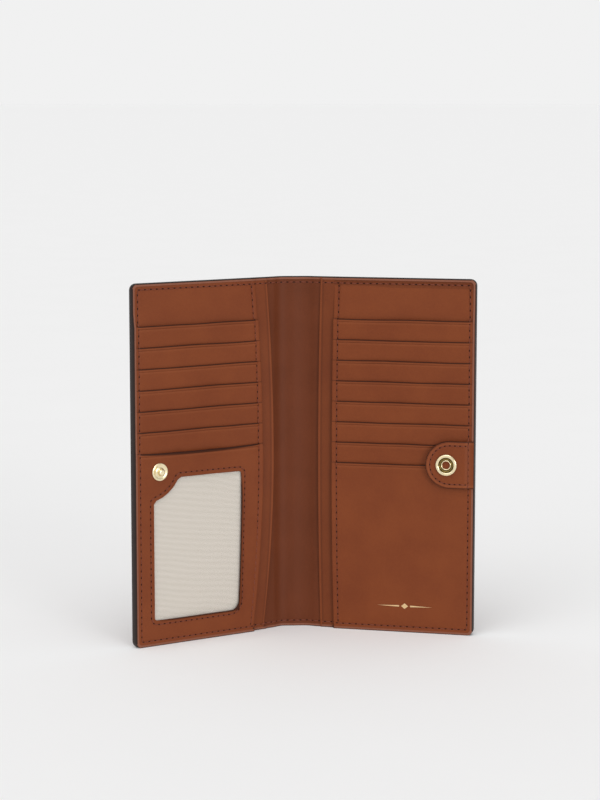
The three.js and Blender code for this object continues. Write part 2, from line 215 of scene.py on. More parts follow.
def half_outline(inner, low=0.0, high=HEIGHT):
    """A layer's edge: square on the spine side, round at the wallet's own outer corners."""
    edge = HALF_WIDTH - CORNER
    lower = arc((edge, CORNER), CORNER, -90, 0, 8) if low == 0 else [(HALF_WIDTH, low)]
    upper = [(HALF_WIDTH, high)]
    if high == HEIGHT:
        upper = arc((edge, HEIGHT - CORNER), CORNER, 0, 90, 8)
    return [(inner, low), *lower, *upper, (inner, high)]


def cut_along(bm, across=(), up=()):
    """Cuts the flat sheet into rows and columns, so that it can take a shape."""
    for places, normal in ((across, Vector((1, 0, 0))), (up, Vector((0, 0, 1)))):
        for place in places:
            whole = bm.verts[:] + bm.edges[:] + bm.faces[:]
            bmesh.ops.bisect_plane(bm, geom=whole, dist=0.001, plane_co=normal * place,
                                   plane_no=normal)


def steps(first, last, pitch):
    """Even places between two ends, without the ends."""
    count = max(1, round((last - first) / pitch))
    return [first + (last - first) * i / count for i in range(1, count)]


def thicken(bm, thickness, rounding, is_open=lambda edge: False):
    """Gives the flat sheet its thickness, from level 0 up, and rounds its cut edges."""
    bmesh.ops.solidify(bm, geom=bm.faces[:], thickness=thickness)
    bmesh.ops.recalc_face_normals(bm, faces=bm.faces)
    low = min(corner.co.y for corner in bm.verts)
    bmesh.ops.translate(bm, verts=bm.verts, vec=(0, -low, 0))
    rims = [edge for edge in bm.edges
            if edge.is_manifold and edge.calc_face_angle() > 1.2 and not is_open(edge)
            and any(abs(face.normal.y) > 0.9 for face in edge.link_faces)]
    bmesh.ops.bevel(bm, geom=rims, affect="EDGES", offset=rounding, segments=2, profile=0.5,
                    material=-1)


def leather_sheet(outline, thickness, across, up, rounding=0.22, is_open=lambda edge: False):
    """A leather cut to an outline, flat and in rows and columns."""
    bm = bmesh.new()
    corners = [bm.verts.new((u, 0, z)) for u, z in outline]
    bmesh.ops.contextual_create(bm, geom=corners)
    cut_along(bm, across, up)
    thicken(bm, thickness, rounding, is_open)
    return bm


def edges_painted(bm, free=lambda u: True):
    """Cut edges take the second material, the edge paint, wherever they are free."""
    bm.normal_update()
    for face in bm.faces:
        is_edge = abs(face.normal.y) < 0.6 and free(face.calc_center_median().x)
        face.material_index = 1 if is_edge else 0


def leather(name, face, deep, light, grain, depth, roughness=0.5):
    """Dyed, finished calf leather. The dye takes unevenly over a few centimetres, the hair
    cells leave a fine pebble a fraction of a millimetre wide, and soft creases run through
    it. The attribute "tone" paints light and shade into the colour: above zero it mixes in
    the light colour as a painted highlight, below zero a dark brown as painted shade in
    creases, gaps and sheltered places, and as edge paint where it laps over."""
    made, tree, out = new_material(name)
    place = add(tree, "TexCoord").outputs["Object"]
    cloud = add(tree, "TexNoise", {"Vector": place}, {"Scale": 1 / 0.022, "Detail": 4.0})
    speck = add(tree, "TexNoise", {"Vector": place}, {"Scale": 1 / 0.0011, "Detail": 2.0})
    mixed = add(tree, "Mix", {"A": cloud.outputs["Fac"], "B": speck.outputs["Fac"]},
                {"Factor": 0.3})
    dye = add(tree, "ValToRGB", {"Fac": mixed.outputs["Result"]})
    dye.color_ramp.elements[0].position = 0.35
    dye.color_ramp.elements[0].color = paint(deep)
    dye.color_ramp.elements[1].position = 0.62
    dye.color_ramp.elements[1].color = paint(face)
    # Painted light: positive tone mixes in the light colour as a painted highlight, negative tone mixes
    # in dark brown as painted shade, and partly as edge paint.
    tone = add(tree, "Attribute", attribute_name="tone").outputs["Fac"]
    painted_highlight = add(tree, "MapRange", {"Value": tone}, {"From Max": 1.0, "To Max": 0.8})
    darkening = add(tree, "MapRange", {"Value": tone}, {"From Min": 0.0, "From Max": -1.0, "To Max": 0.9})
    highlighted = add(tree, "Mix", {"Factor": painted_highlight.outputs["Result"], "A": dye.outputs["Color"]},
               data_type="RGBA")
    highlighted.inputs["B"].default_value = paint(light)
    dark = add(tree, "Mix", {"Factor": darkening.outputs["Result"], "A": highlighted.outputs["Result"]},
               data_type="RGBA")
    dark.inputs["B"].default_value = paint("#220d06")
    pebble = add(tree, "TexVoronoi", {"Vector": place}, {"Scale": 1 / (grain * 0.001)},
                 feature="SMOOTH_F1")
    crease = add(tree, "TexNoise", {"Vector": place}, {"Scale": 1 / 0.004, "Detail": 5.0,
                                                        "Distortion": 0.6})
    height = add(tree, "Math", {0: pebble.outputs["Distance"], 1: crease.outputs["Fac"]},
                 operation="ADD")
    relief = add(tree, "Bump", {"Height": height.outputs["Value"]},
                 {"Strength": 0.6, "Distance": depth * 0.001})
    sheen = add(tree, "MapRange", {"Value": speck.outputs["Fac"]},
                {"To Min": roughness - 0.07, "To Max": roughness + 0.08})
    skin = add(tree, "BsdfPrincipled",
               {"Base Color": dark.outputs["Result"], "Normal": relief.outputs["Normal"],
                "Roughness": sheen.outputs["Result"]},
               {"IOR": 1.5, "Specular IOR Level": 0.16})
    tree.links.new(skin.outputs["BSDF"], out.inputs["Surface"])
    return made


outer_leather = leather("tan_calf_outside", "#77391b", "#6f3418", "#8a4a28", 0.7, 0.05)
COVER = 1.2  # thickness of the outer leather


def at_spine_middle(edge):
    """Whether an edge lies on the middle of the spine, where the two halves meet."""
    return all(corner.co.x < -SPINE_HALF + 0.01 for corner in edge.verts)


def fold_cuts():
    """Close rows over the fold, wider ones out to the edge."""
    return steps(-SPINE_HALF, SPINE_HALF + 1, 0.6) + steps(SPINE_HALF, HALF_WIDTH, 3.0)


SEAM_INSET = 3.0  # from the wallet's edge to its seam


def edge_seam_dip(u, z, depth=0.16):
    """How far the thread of the edge seam draws the leather in."""
    away = min(abs(HALF_WIDTH - SEAM_INSET - u), abs(z - SEAM_INSET), abs(HEIGHT - SEAM_INSET - z))
    return depth * math.exp(-((away / 0.7) ** 2))


SEAM_ROWS = (-1.2, -0.6, -0.25, 0.25, 0.6, 1.2)
seam_across = [HALF_WIDTH - SEAM_INSET + row for row in SEAM_ROWS]
seam_up = [place + row for place in (SEAM_INSET, HEIGHT - SEAM_INSET) for row in SEAM_ROWS]


def drape(u, z, height, seed):
    """The slight, soft unevenness of a leather that isn't pulled tight."""
    return height * noise.noise(Vector((u / 24, z / 31, seed)))


for side in SIDES:
    bm = leather_sheet(half_outline(-SPINE_HALF), COVER, fold_cuts() + seam_across,
                       steps(0, HEIGHT, 3.5) + seam_up, 0.3, at_spine_middle)
    for corner in bm.verts:
        u, n, z = corner.co
        corner.co.y = n - COVER
        if n < COVER / 2:
            corner.co.y += edge_seam_dip(u, z) + drape(u, z, 0.12, 3.0)
    set_in_place(bm, side)
    cover = finished(bm, side + "_outer_leather", [outer_leather])
    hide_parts(side + "_cover", *(["spine_cover"] if side == "left" else []))
    bends_at_fold(cover)

# ---- fibre board ---------------------------------------------------------------------
# A thin board of pressed leather fibre is glued behind each half to keep it flat. It is
# die cut and hidden between the outer leather and the lining.


def fibre_board():
    """Bonded leather fibre: a matt buff sheet, flecked with darker fibres."""
    return mottled("bonded_fibre_board", 0.0015, 6.0, "#7d6647", "#ab9473",
                   {"Roughness": 0.9, "Specular IOR Level": 0.3}, 0.00008)


def dress(node, material):
    """A CAD node keeps its shape and takes a finish."""
    mesh = frame["nodes"][node].data
    mesh.materials.clear()
    mesh.materials.append(material)


board = fibre_board()
for side in SIDES:
    dress(side + "_stiffener", board)

# ---- lining --------------------------------------------------------------------------
# A thinner leather lines the inside from edge to edge, and shows in the spine between
# the two slip pockets. It lies close to the outer leather over the soft spine.
# Its colour is darker than the inside leather's: painted shade for the spine, where it shows between
# the pockets.
lining_leather = leather("tan_lining_leather", "#66321a", "#5e2d16", "#784023", 0.5, 0.035, 0.55)
LINING = 0.5
LINING_TOP = {"spine": 0.55, "half": 0.9}


def smooth(share):
    """0 below 0 and 1 above 1, with an even slope between."""
    share = min(1.0, max(0.0, share))
    return share * share * (3 - 2 * share)


def lining_top(u):
    """Level of the lining's face: it steps up where the board begins."""
    return LINING_TOP["spine"] + (LINING_TOP["half"] - LINING_TOP["spine"]) * smooth((u - 1) / 5)


for side in SIDES:
    bm = leather_sheet(half_outline(-SPINE_HALF), LINING, fold_cuts(),
                       steps(0, HEIGHT, 3.5) + seam_up, 0.2, at_spine_middle)
    for corner in bm.verts:
        u, n, z = corner.co
        corner.co.y = lining_top(u) - LINING + n
        if n > LINING / 2:
            corner.co.y -= edge_seam_dip(u, z, 0.08)
    set_in_place(bm, side)
    lining = finished(bm, side + "_lining_leather", [lining_leather])
    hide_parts(side + "_lining", *(["spine_lining"] if side == "left" else []))
    bends_at_fold(lining)

# ---- slip pocket dividers ------------------------------------------------------------
# On each half a full-height leather is sewn in at three edges. Its free edge faces the
# spine, is painted, and bows: the middle stands out a little, the ends are drawn back.
inner_leather = leather("tan_calf_inside", "#7a3d1e", "#72371b", "#9c5c38", 0.6, 0.035)


def edge_paint():
    """Edge paint: brushed on in coats and dried to a satin, dark brown bead."""
    return mottled("brown_edge_paint", 0.002, 3.0, "#240c06", "#37140b",
                   {"Roughness": 0.5, "Specular IOR Level": 0.14}, 0.00004)


painted_edge = edge_paint()
DIVIDER_EDGE = 7.2
DIVIDER = {"low": 0.95, "thick": 0.6}
# How far the free edges draw back at the top and bottom end, and stand out in the middle
DRAWN_BACK = {"left": {"top": 3.4, "bottom": 5.9}, "right": {"top": 1.1, "bottom": 1.2}}
STANDS_OUT = {"left": 1.7, "right": 1.0}


def bow(side, u, z, edge, reach):
    """Where a point of a free-edged leather goes: across by the first, out by the second."""
    end = (z - HEIGHT / 2) / (HEIGHT / 2)
    ease = max(0.0, 1 - (u - edge) / reach) ** 2
    back = DRAWN_BACK[side]["top" if end > 0 else "bottom"] * end * end
    return back * ease, STANDS_OUT[side] * (1 - end * end) * ease


DIVIDER_REACH = 26.0
DIVIDER_SHADE = {"left": 0.11, "right": 0.19}  # painted shade over each divider, which sits back in the spine
for side in SIDES:
    across = steps(DIVIDER_EDGE, 16, 0.8) + steps(16, HALF_WIDTH, 4) + seam_across
    bm = leather_sheet(half_outline(DIVIDER_EDGE), DIVIDER["thick"], across,
                       steps(0, HEIGHT, 3.5) + seam_up, 0.2)
    edges_painted(bm)
    tone = bm.verts.layers.float.new("tone")
    for corner in bm.verts:
        u, n, z = corner.co
        crease = math.exp(-(((u - DIVIDER_EDGE - 1.6) / 0.5) ** 2))
        back, lift = bow(side, u, z, DIVIDER_EDGE, DIVIDER_REACH)
        corner.co.y = DIVIDER["low"] + n + lift
        if n > DIVIDER["thick"] / 2:
            corner.co.y -= edge_seam_dip(u, z, 0.1) + 0.05 * crease
            # Tone: a painted highlight along the free edge, painted shade in the crease beside it, and
            # painted shade over the whole strip.
            corner[tone] = 0.25 * smooth((DIVIDER_EDGE + 1.4 - u) / 0.6) - 0.3 * crease - DIVIDER_SHADE[side]
        corner.co.x += back
    set_in_place(bm, side)
    divider = finished(bm, side + "_slip_pocket_leather", [inner_leather, painted_edge])
    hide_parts(side + "_slip_divider")
    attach(divider, side + "_half")

# ---- card panels ---------------------------------------------------------------------
# A base leather carries the card pockets. Each pocket is a strip of leather whose foot
# is hidden behind the next one down. Its mouth is darkened, partly by edge paint and
# partly by painted shade of the gap behind it; a hot iron has pressed a crease just below
# it, which is darkened with painted shade, with painted highlights on the rim above and
# below it. The strips lean forward one over the other.
PANEL_EDGE = 15.0
PANEL_REACH = 39.0
BASE = {"low": 1.6, "thick": 0.5}
STRIP = 0.45
STRIP_TALL = 17.0
FIRST_MOUTH = 168.2
MOUTH_PITCH = 11.0
STRIP_FOOT = 2.15
FRONT = 2.923  # back of the large pockets, and of every strip at its mouth
STRIPS = {"left": 6, "right": 7}
BIG_MOUTH = {side: FIRST_MOUTH - STRIPS[side] * MOUTH_PITCH for side in SIDES}
FRAME = 0.55
BIG_THICK = {"left": FRAME, "right": STRIP}
CARD_SEAM = 17.7
FLUSH = 0.35  # how far a mouth is pressed down where it is sewn


def mouth_ease(u):
    """How free a pocket's mouth is: held at its two seams, slack between them."""
    share = (u - CARD_SEAM) / (HALF_WIDTH - SEAM_INSET - CARD_SEAM)
    return math.sin(math.pi * min(1.0, max(0.0, share))) ** 0.6


def panel_front(side, z):
    """Level of the face of the card panel: the frontmost leather at a height."""
    if z < BIG_MOUTH[side]:
        return FRONT + BIG_THICK[side]
    for i in reversed(range(STRIPS[side])):
        mouth = FIRST_MOUTH - i * MOUTH_PITCH
        if z < mouth:
            return FRONT + STRIP - (FRONT - STRIP_FOOT) * (mouth - z) / STRIP_TALL
    return BASE["low"] + BASE["thick"]


def panel_bow(side, u, z):
    """How far a point of the card panel goes across and out."""
    return bow(side, u, z, PANEL_EDGE, PANEL_REACH)


def front(side, u, z):
    """Level of the inside face of the whole half at a place."""
    divider_back, divider_lift = bow(side, u, z, DIVIDER_EDGE, DIVIDER_REACH)
    panel_back, panel_lift = panel_bow(side, u, z)
    if u - panel_back >= PANEL_EDGE:
        return panel_front(side, z) + panel_lift
    if u - divider_back >= DIVIDER_EDGE:
        return DIVIDER["low"] + DIVIDER["thick"] + divider_lift
    return lining_top(u)


# Rows below a mouth, in millimetres from its edge
RIM_ROWS = (0.25, 0.4, 0.6, 0.85, 1.1, 1.3, 1.45, 1.6, 1.75, 1.95, 2.3, 3.0, 4.5, 6.5)


def rim_height(below):
    """The folded rim stands proud of the face, and the crease is pressed into it."""
    return 0.12 * smooth((1.7 - below) / 0.5) - 0.12 * math.exp(-(((below - 1.65) / 0.2) ** 2))


def rim_tone(below, darkening, gap_shade):
    """The lip is darkened, partly edge paint and partly painted shade of the gap behind it,
    which the last argument widens; the rim gets a painted highlight, the crease painted
    shade, and a fainter painted highlight lies below the crease.
    """
    lip = smooth((0.7 + gap_shade - below) / 0.35)
    crease = darkening * math.exp(-(((below - 1.6) / 0.2) ** 2))
    painted_highlight = 0.22 * math.exp(-(((below - 1.05) / 0.35) ** 2))
    return painted_highlight + 0.2 * math.exp(-(((below - 2.2) / 0.5) ** 2)) - crease - lip


def sewn_tone(below):
    """Outside the seams a mouth is only a fine dark line."""
    return -0.6 * smooth((0.5 - below) / 0.25)


def between_seams(u):
    """1 where a pocket's mouth is free, 0 where it is sewn down flush."""
    return smooth((u - CARD_SEAM + 0.6) / 0.5) * smooth((HALF_WIDTH - SEAM_INSET + 0.6 - u) / 0.5)


def lay_on_panel(bm, side, level, thickness, seed, mouth=None, curl=0.0, sag=0.0, gap_shade=0.0,
                 shade_band=lambda u, z: 0.0):
    """Lays a flat leather on the card panel, shapes its mouth and draws its seams in."""
    tone = bm.verts.layers.float.new("tone")
    for corner in bm.verts:
        u, n, z = corner.co
        back, lift = panel_bow(side, u, z)
        seam = max(edge_seam_dip(u, z, 0.12), 0.12 * math.exp(-(((u - CARD_SEAM) / 0.6) ** 2)))
        corner.co.y = level(u, z) + n + lift
        if n > thickness / 2:
            corner.co.y += drape(u, z, 0.07, seed) * mouth_ease(u) - seam
        if mouth:
            below = max(0.0, mouth - z)
            free = mouth_ease(u)
            wave = noise.noise(Vector((u / 17, seed, 0.5)))
            corner.co.y += curl * free * (1 + 0.8 * wave) * math.exp(-below / 2.5)
            corner.co.y -= (1 - between_seams(u)) * FLUSH * math.exp(-below / 2.5)
            corner.co.z += (0.3 * wave - sag) * free * math.exp(-below / 9.0)
            if n > thickness / 2:
                share, darkening = between_seams(u), 0.28 + 0.3 * wave
                corner.co.y += rim_height(below) * share
                # The tone paints the mouth's light and shade from rim_tone, and adds any band of
                # painted shade that is passed in.
                corner[tone] = (rim_tone(below, darkening, gap_shade * free) * share
                                + sewn_tone(below) * (1 - share) + shade_band(u, z))
        corner.co.x += back


card_across = (steps(PANEL_EDGE, 22, 0.7) + steps(22, HALF_WIDTH, 2.2) + seam_across
               + [CARD_SEAM - 0.6, CARD_SEAM - 0.35, CARD_SEAM - 0.1])


def add_to_panel(bm, side, name, node, free=lambda u: True):
    """Paints the free edges of a leather and fixes it to its half."""
    edges_painted(bm, free)
    set_in_place(bm, side)
    made = finished(bm, name, [inner_leather, painted_edge])
    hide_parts(node)
    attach(made, side + "_half")


def mouth_is_free(u):
    """Whether a strip's edge shows: between its seams, and at the panel's free edge."""
    return u < PANEL_EDGE + 0.3 or between_seams(u) > 0.5


def strip_level(foot):
    """Level of a strip's back, which leans forward from its hidden foot."""
    return lambda u, z: STRIP_FOOT + (FRONT - STRIP_FOOT) * (z - foot) / STRIP_TALL


LEANS_BACK = {"left": 0.3, "right": 1.2}  # how the plain top of a panel leans back
CURL = {"strip": 0.45, "right": 0.6, "left": 1.3}  # how far a mouth stands open
for side in SIDES:
    bm = leather_sheet(half_outline(PANEL_EDGE), BASE["thick"], card_across,
                       steps(0, HEIGHT, 3.5) + seam_up, 0.15)
    lay_on_panel(bm, side, lambda u, z: BASE["low"] - LEANS_BACK[side] * smooth((z - 166) / 40),
                 BASE["thick"], 7.0)
    add_to_panel(bm, side, side + "_card_base_leather", side + "_card_base")
    for i in range(STRIPS[side]):
        mouth = FIRST_MOUTH - i * MOUTH_PITCH
        foot = mouth - STRIP_TALL
        rows = [mouth - row for row in RIM_ROWS] + steps(foot, mouth - 6.5, 2.5)
        bm = leather_sheet(half_outline(PANEL_EDGE, foot, mouth), STRIP, card_across, rows)
        lay_on_panel(bm, side, strip_level(foot), STRIP, 11.0 + i + len(side), mouth,
                     CURL["strip"])
        add_to_panel(bm, side, f"{side}_card_pocket_leather_{i + 1}",
                     f"{side}_card_pocket_{i + 1}", mouth_is_free)

FOIL_SIDE_SEED = 31.0  # the drape of the large right pocket, which the foil follows
# The large pocket of the right half has no pocket below it, and reaches the bottom edge.
bm = leather_sheet(half_outline(PANEL_EDGE, 0, BIG_MOUTH["right"]), STRIP, card_across,
                   [BIG_MOUTH["right"] - row for row in RIM_ROWS] + seam_up[:6]
                   + steps(0, BIG_MOUTH["right"] - 6.5, 3.5))
lay_on_panel(bm, "right", lambda u, z: FRONT, STRIP, FOIL_SIDE_SEED, BIG_MOUTH["right"],
             CURL["right"])
add_to_panel(bm, "right", "right_large_pocket_leather", "right_card_pocket_8")

# ---- window pocket -------------------------------------------------------------------
# The large pocket of the left half has a window, die cut with a round notch that leaves
# room for the snap. Its cut edge is painted dark.
WINDOW = {"inner": 28.3, "outer": 81.0, "low": 13.5, "high": 88.3}
NOTCH = {"across": 85.75, "up": 98.0, "radius": 22.0}
WINDOW_RINGS = (0.5, 1.2, 2.2, 3.2)


def window_outline(grow=0.0):
    """The window's edge, grown outwards, with its shallow notch below the snap."""
    inner, outer = WINDOW["inner"] - grow, WINDOW["outer"] + grow
    low, high = WINDOW["low"] - grow, WINDOW["high"] + grow
    centre, radius = (NOTCH["across"], NOTCH["up"]), NOTCH["radius"] - grow
    start = 180 + math.degrees(math.asin((centre[1] - high) / radius))
    stop = 180 + math.degrees(math.acos((centre[0] - outer) / radius))
    top = centre[0] - math.sqrt(radius**2 - (centre[1] - high) ** 2)
    side = centre[1] - math.sqrt(radius**2 - (centre[0] - outer) ** 2)
    small, soft, ease = 1.5 + grow, 5.0 + grow, 4
    return [
        *arc((outer - small, low + small), small, 0, -90, 5),
        *arc((inner + soft, low + soft), soft, -90, -180, 8),
        *arc((inner + small, high - small), small, 180, 90, 5),
        (top - 1.5, high),
        *arc(centre, radius, start + ease, stop - ease, 14),
        (outer, side - 1.5),
    ]


def flat(outline):
    """The places of an outline as points at level 0."""
    return [(u, 0, z) for u, z in outline]


def closed_loop(bm, points):
    """A ring of corners and its edges."""
    ring = [bm.verts.new(point) for point in points]
    return ring, [bm.edges.new(pair) for pair in zip(ring, ring[1:] + ring[:1])]


def drawn_out(bm, ring, loop, points):
    """Extrudes a ring, and moves the new one to its own points, in the same order."""
    drawn = bmesh.ops.extrude_edge_only(bm, edges=loop)["geom"]
    fresh = {part for part in drawn if isinstance(part, bmesh.types.BMVert)}
    wider = [next(edge.other_vert(corner) for edge in corner.link_edges
                  if edge.other_vert(corner) in fresh) for corner in ring]
    for corner, point in zip(wider, points):
        corner.co = point
    return wider, [part for part in drawn if isinstance(part, bmesh.types.BMEdge)
                   and all(corner in fresh for corner in part.verts)]


def frame_sheet(outline, across, up):
    """A leather with the window punched out of it, ringed so that the edge can be shaped."""
    bm = bmesh.new()
    ring, loop = closed_loop(bm, flat(window_outline()))
    for grow in WINDOW_RINGS:
        ring, loop = drawn_out(bm, ring, loop, flat(window_outline(grow)))
    rim = closed_loop(bm, flat(outline))[1]
    bmesh.ops.triangle_fill(bm, use_beauty=True, edges=loop + rim, normal=(0, -1, 0))
    bmesh.ops.recalc_face_normals(bm, faces=bm.faces)
    cut_along(bm, across, up)
    return bm


def lifted_rim(u, z):
    """Distance beyond the window's lower edge and its edge by the spine, and how fully a
    place belongs to those two rims."""
    gap = max(WINDOW["low"] - z, WINDOW["inner"] - u)
    ends = smooth((WINDOW["outer"] - u) / 12) * smooth((WINDOW["high"] - z) / 12)
    return gap, smooth((gap + 2.2) / 0.6) * ends


def frame_level(u, z):
    """The two rims stand a little off the film."""
    gap, share = lifted_rim(u, z)
    return FRONT + 0.5 * math.exp(-max(0.0, gap) / 1.3) * share


def window_rim_shade(u, z):
    """A dark band over the two rims: painted shade for the shadow under the lifted rims and
    for the walls seen there, with edge paint lapping a little over.
    """
    gap, share = lifted_rim(u, z)
    return -0.9 * smooth((0.8 - gap) / 0.4) * share


bm = frame_sheet(half_outline(PANEL_EDGE, 0, BIG_MOUTH["left"]), card_across[::2],
                 [BIG_MOUTH["left"] - row for row in RIM_ROWS] + seam_up[:6]
                 + steps(0, BIG_MOUTH["left"] - 6.5, 4))
thicken(bm, FRAME, 0.22)
# Here the dark lip is widened with painted shade of the sagging, open mouth, and the window's two rims
# take a band of painted shade.
lay_on_panel(bm, "left", frame_level, FRAME, 37.0, BIG_MOUTH["left"], CURL["left"], sag=0.6,
             gap_shade=1.0, shade_band=window_rim_shade)
add_to_panel(bm, "left", "id_window_frame_leather", "id_window_frame")

# ---- window film and pocket fabric ---------------------------------------------------
# A clear film is sewn behind the window, and a pale woven fabric lines the pocket behind
# it. The fabric is cut a little narrower than the pocket and lies flat, faintly watered.


def clear_film():
    """Plasticised film: nearly clear, with a soft gloss and slight waves."""
    made, tree, out = new_material("clear_film")
    place = add(tree, "TexCoord").outputs["Object"]
    wave = add(tree, "TexNoise", {"Vector": place}, {"Scale": 1 / 0.018, "Detail": 1.0})
    relief = add(tree, "Bump", {"Height": wave.outputs["Fac"]},
                 {"Strength": 0.5, "Distance": 0.0004})
    skin = add(tree, "BsdfPrincipled", {"Normal": relief.outputs["Normal"]},
               {"Base Color": paint("#f4f4f2"), "Roughness": 0.18, "Alpha": 0.06,
                "Specular IOR Level": 0.4})
    tree.links.new(skin.outputs["BSDF"], out.inputs["Surface"])
    return made


def warped_sheet(outline, level, pitch, shape=lambda u, z: 0.0):
    """A thin sheet of the window pocket, which follows the bow of the card panel."""
    bm = bmesh.new()
    rim = closed_loop(bm, flat(outline))[1]
    bmesh.ops.triangle_fill(bm, use_beauty=True, edges=rim, normal=(0, -1, 0))
    lows, highs = [min(c) for c in zip(*outline)], [max(c) for c in zip(*outline)]
    cut_along(bm, steps(lows[0], highs[0], pitch), steps(lows[1], highs[1], pitch))
    for corner in bm.verts:
        u, _, z = corner.co
        back, lift = panel_bow("left", u, z)
        corner.co = (u + back, level + lift + shape(u, z), z)
    set_in_place(bm, "left")
    return bm


def in_window_pocket(piece, thickness, node):
    """Gives a sheet its thickness and fixes it to the left half."""
    shell = piece.modifiers.new("thickness", "SOLIDIFY")
    shell.thickness = thickness * 0.001
    shell.offset = 0
    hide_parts(node)
    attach(piece, "left_half")


film = finished(warped_sheet(window_outline(4.0), 2.75, 4.0), "id_window_clear_film", [clear_film()])
in_window_pocket(film, 0.15, "id_window_film")


def bands_apart(pitch):
    """The scale that spaces a wave texture's bands by a pitch in metres."""
    return 0.5 * math.tau / 20 / pitch


def watered_fabric():
    """Plain-woven synthetic taffeta. The threads, a third of a millimetre, give a fine
    grid, and calendering has left faint wavy bands one and a half millimetres apart."""
    made, tree, out = new_material("watered_taffeta")
    place = add(tree, "TexCoord").outputs["Object"]
    turned = add(tree, "Mapping", {"Vector": place},
                 {"Rotation": (0, math.radians(-11), math.radians(-29.5))})
    band = add(tree, "TexWave", {"Vector": turned.outputs["Vector"]},
               {"Scale": bands_apart(0.0015), "Distortion": 5.0, "Detail": 2.0,
                "Detail Scale": 0.25}, bands_direction="Z")
    weft = add(tree, "TexWave", {"Vector": place}, {"Scale": bands_apart(0.00035)},
               bands_direction="Z")
    warp = add(tree, "TexWave", {"Vector": turned.outputs["Vector"]},
               {"Scale": bands_apart(0.00035)}, bands_direction="X")
    tone = add(tree, "ValToRGB", {"Fac": band.outputs["Fac"]})
    tone.color_ramp.elements[0].color = paint("#c3bbaf")
    tone.color_ramp.elements[1].color = paint("#c9c1b6")
    cloth = add(tree, "Math", {0: weft.outputs["Fac"], 1: warp.outputs["Fac"]}, operation="ADD")
    height = add(tree, "Math", {0: cloth.outputs["Value"], 1: band.outputs["Fac"]},
                 operation="ADD")
    relief = add(tree, "Bump", {"Height": height.outputs["Value"]},
                 {"Strength": 0.6, "Distance": 0.00005})
    skin = add(tree, "BsdfPrincipled",
               {"Base Color": tone.outputs["Color"], "Normal": relief.outputs["Normal"]},
               {"Roughness": 0.7, "Specular IOR Level": 0.25, "Sheen Weight": 0.15})
    tree.links.new(skin.outputs["BSDF"], out.inputs["Surface"])
    return made


FABRIC = {"level": 2.25, "thick": 0.12, "edge": 16.5, "top": 95.5}


def ripple(u, z):
    """The fabric's own fine waves, across its width."""
    wander = 2 * noise.noise(Vector((u / 9, z / 14, 2)))
    return 0.006 * math.sin((z - 0.18 * u) * math.tau / 1.7 + wander) * mouth_ease(u)


fabric = finished(warped_sheet(half_outline(FABRIC["edge"], 0, FABRIC["top"]), FABRIC["level"],
                               0.7, ripple), "id_pocket_fabric", [watered_fabric()])
in_window_pocket(fabric, FABRIC["thick"], "id_pocket_lining")

# ---- painted outer edges -------------------------------------------------------------
# Round the whole wallet the cut layers are glued, sanded and painted together: a charcoal
# bead that covers the edge and laps a little over both faces.


def bead_paint(name, deep, light):
    """Edge paint over several coats: satin, slightly domed, finely uneven."""
    return mottled(name, 0.0025, 4.0, deep, light,
                   {"Roughness": 0.45, "Specular IOR Level": 0.16}, 0.00008, 0.6)


charcoal_bead = bead_paint("charcoal_edge_paint", "#211613", "#2e211d")
thin_paint_and_sheen = bead_paint("thinned_edge_paint_and_sheen", "#7a4a38", "#895743")  # thinned paint where it laps over the tan, lighter also as a painted highlight on the bead's rounded shoulder


def sweep(bm, sections):
    """A closed tube through a row of sections with as many points each."""
    ring, loop = closed_loop(bm, sections[0])
    bmesh.ops.contextual_create(bm, geom=loop)
    for section in sections[1:]:
        ring, loop = drawn_out(bm, ring, loop, section)
    bmesh.ops.contextual_create(bm, geom=loop)
    bmesh.ops.recalc_face_normals(bm, faces=bm.faces)


def along_edge(inset, pitch):
    """Places and outward directions along a half's edge, from the spine round to the spine."""
    corner = CORNER - inset
    low, high, out = inset, HEIGHT - inset, HALF_WIDTH - inset
    path = [((u, low), (0, -1)) for u in [-SPINE_HALF, *steps(-SPINE_HALF, out - corner, pitch)]]
    for centre, first in (((out - corner, low + corner), -90), ((out - corner, high - corner), 0)):
        turns = [math.radians(first + 90 * i / 6) for i in range(7)]
        path += [((centre[0] + corner * math.cos(a), centre[1] + corner * math.sin(a)),
                  (math.cos(a), math.sin(a))) for a in turns]
        if first == -90:
            path += [((out, z), (1, 0)) for z in steps(low + corner, high - corner, pitch)]
    back = [*reversed(steps(-SPINE_HALF, out - corner, pitch)), -SPINE_HALF]
    return path + [((u, high), (0, 1)) for u in back]


LAP = 1.3  # how far the bead laps over the faces, thinning out


PROUD = 0.2  # how far it stands out


def bead_top(side, u, z):
    """The face under the bead, filled and evened out where the pockets step."""

    def filled(place):
        return max(front(side, u, min(HEIGHT - 0.3, max(0.3, place + dz))) for dz in (-3, 0, 3))

    return sum(filled(z + dz) for dz in (-3, -1.5, 0, 1.5, 3)) / 5


for side in SIDES:
    sections = []
    for (u, z), (du, dz) in along_edge(0.0, 1.2):
        top = bead_top(side, u - 0.3 * du, z)
        shape = [(-LAP, -COVER - 0.03), (-0.35, -COVER - 0.09), (0.05, -COVER - 0.07),
                 (PROUD, -COVER + 0.35), (PROUD, top - 0.35), (0.05, top + 0.07),
                 (-0.35, top + 0.09), (-LAP, top + 0.03)]
        sections.append([(u + du * o, n, z + dz * o) for o, n in shape])
    bm = bmesh.new()
    sweep(bm, sections)
    bm.normal_update()
    for face in bm.faces:
        middle = face.calc_center_median()
        is_inside = middle.x < HALF_WIDTH - 0.3 and 0.3 < middle.z < HEIGHT - 0.3
        # Lap faces take the lighter paint: thinned paint, and a painted highlight on the bead's
        # shoulder.
        face.material_index = 1 if is_inside and abs(face.normal.y) > 0.7 else 0
    set_in_place(bm, side)
    bead = finished(bm, side + "_edge_paint", [charcoal_bead, thin_paint_and_sheen], 60)
    bends_at_fold(bead)

